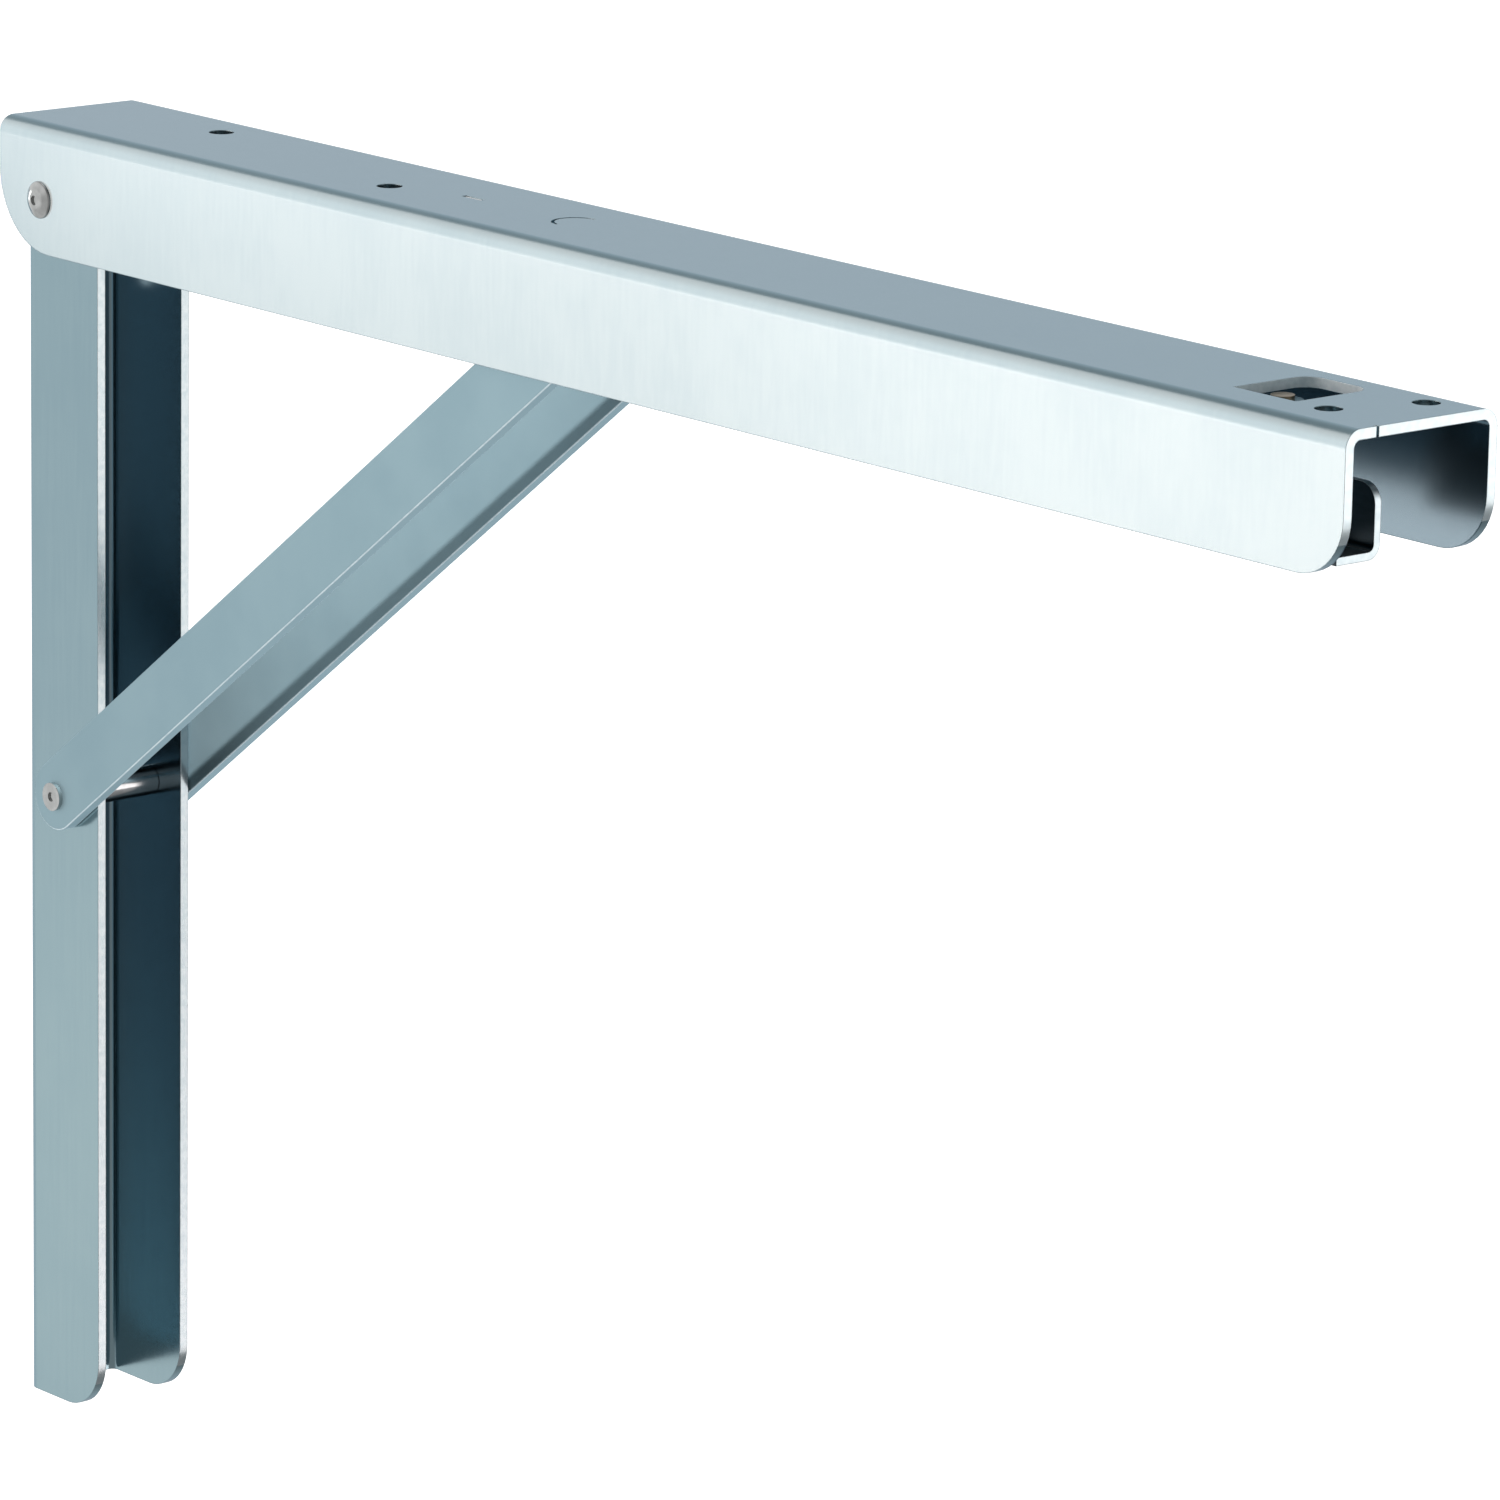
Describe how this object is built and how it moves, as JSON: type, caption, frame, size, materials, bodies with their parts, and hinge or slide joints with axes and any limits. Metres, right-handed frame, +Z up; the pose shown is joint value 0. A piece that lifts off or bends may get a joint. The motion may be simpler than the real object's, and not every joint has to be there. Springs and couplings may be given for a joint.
{
  "type": "drop leaf table bracket",
  "caption": "Folding drop leaf table bracket: a long sheet steel arm hinged on a wall rail, propped by a sliding strut that locks when raised and is freed by a finger lever.",
  "frame": {"origin": "on the rail's back face against the wall, centred across the width and 120 mm above the rail's foot", "axes": "+X out from the wall along the raised arm, +Y across the bracket away from the finger lever's side, +Z up"},
  "size_m": [0.401, 0.0402, 0.277],
  "materials": {
    "arm_zinc": "bright zinc plate",
    "rail_zinc": "bright zinc plate",
    "strut_zinc": "bright zinc plate",
    "lever_zinc": "bright zinc plate",
    "rivet_steel": "plain nickel grey",
    "turned_steel": "turned",
    "pawl_steel": "hardened",
    "spring_steel": "drawn wire",
    "lever_brass": "plain",
    "nylon": "moulded"
  },
  "bodies": {
    "rail": {"wall_rail": "rail_zinc", "pivot_pin": "rivet_steel", "pivot_spacer_near": "turned_steel", "pivot_spacer_far": "turned_steel", "strut_pin": "rivet_steel", "strut_sleeve": "turned_steel", "strut_washer_near": "nylon", "strut_washer_far": "nylon"},
    "arm": {"arm_channel": "arm_zinc", "lever_rivet": "lever_brass", "lever_washer": "nylon", "rod_guide": "lever_zinc", "pawl_bracket": "lever_zinc", "pawl_pin": "rivet_steel", "return_spring": "spring_steel"},
    "strut": {"strut_bar_near": "strut_zinc", "strut_bar_far": "strut_zinc", "slide_pin": "rivet_steel", "catch_roller": "turned_steel"},
    "slider": {"slide_block_near": "nylon", "slide_block_far": "nylon"},
    "lever": {"release_lever": "lever_zinc", "rod_rivet": "rivet_steel"},
    "rod": {"release_rod": "lever_zinc"},
    "pawl": {"lock_pawl": "pawl_steel"}
  },
  "joints": [
    {"name": "arm_fold", "type": "hinge", "parent": "rail", "child": "arm", "pos_m": [0.0152, 0, 0.1413], "axis": [0, 1, 0], "range_deg": [0, 90]},
    {"name": "strut_swing", "type": "hinge", "parent": "rail", "child": "strut", "pos_m": [0.0152, 0, 0.014], "axis": [0, 1, 0], "range_deg": [0, 127.3]},
    {"name": "block_swivel", "type": "hinge", "parent": "strut", "child": "slider", "pos_m": [0.18347, 0, 0.1413], "axis": [0, 1, 0], "range_deg": [-37.3, 0]},
    {"name": "lever_pinch", "type": "hinge", "parent": "arm", "child": "lever", "pos_m": [0.365, 0.0008, 0.15145], "axis": [0, 0, -1], "range_deg": [0, 8.4]},
    {"name": "rod_push", "type": "slide", "parent": "arm", "child": "rod", "axis": [-1, 0, 0], "range_m": [0, 0.00077], "stiffness_N_per_m": 15000, "springref_m": -0.0008},
    {"name": "pawl_lift", "type": "hinge", "parent": "arm", "child": "pawl", "pos_m": [0.16497, -0.001, 0.14415], "axis": [0, -1, 0], "range_deg": [0, 8.4]}
  ],
  "couplings": [
    {"joint": "strut_swing", "follows": "arm_fold", "ratio": 1.4123},
    {"joint": "block_swivel", "follows": "arm_fold", "ratio": -0.41231},
    {"joint": "lever_pinch", "follows": "rod_push", "rad_per_m": 181.82},
    {"joint": "pawl_lift", "follows": "rod_push", "rad_per_m": 181.82}
  ]
}
